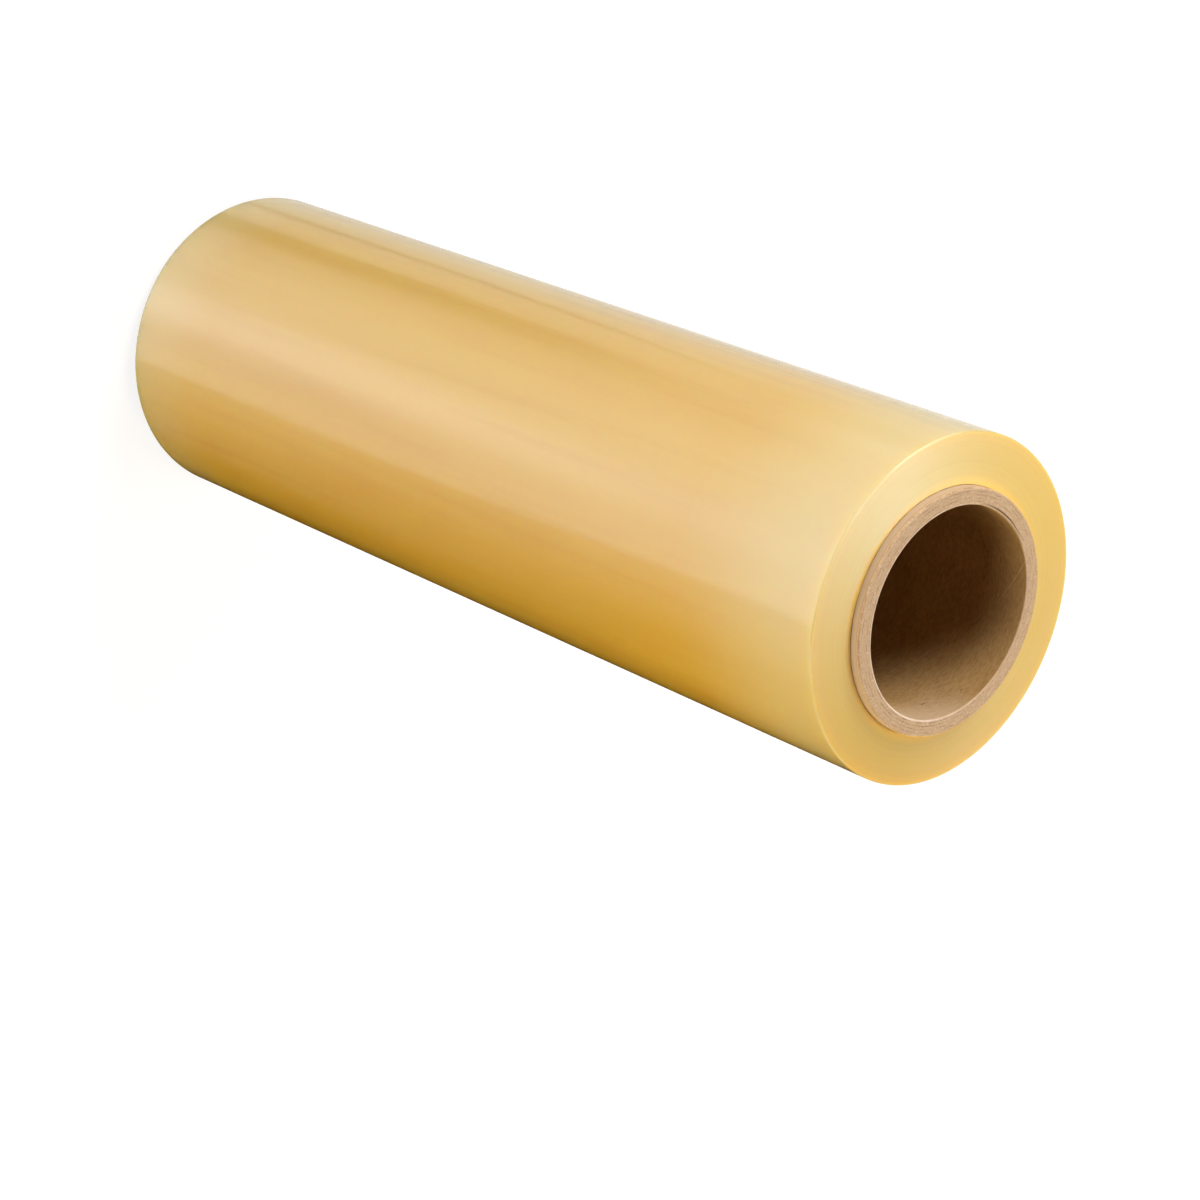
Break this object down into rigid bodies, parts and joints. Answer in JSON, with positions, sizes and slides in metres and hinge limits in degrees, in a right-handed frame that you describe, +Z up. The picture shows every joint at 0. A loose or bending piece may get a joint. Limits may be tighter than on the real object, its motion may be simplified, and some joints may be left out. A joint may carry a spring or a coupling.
{
  "type": "roll of cling film",
  "caption": "Cylindrical roll of honey-tinted cling film for wrapping food, wound on an open paperboard core that stands slightly proud of it at each end.",
  "frame": {"origin": "middle of the core's lower end ring, on the surface that the roll stands on", "axes": "+Z up along the roll's axis; X and Y are alike, because the roll is round"},
  "size_m": [0.126, 0.126, 0.4072],
  "materials": {
    "core_board": "matte kraft board",
    "film": "glossy honey-tinted film, slightly translucent"
  },
  "bodies": {
    "root": {"core_tube": "core_board", "film_winding": "film"}
  },
  "joints": []
}
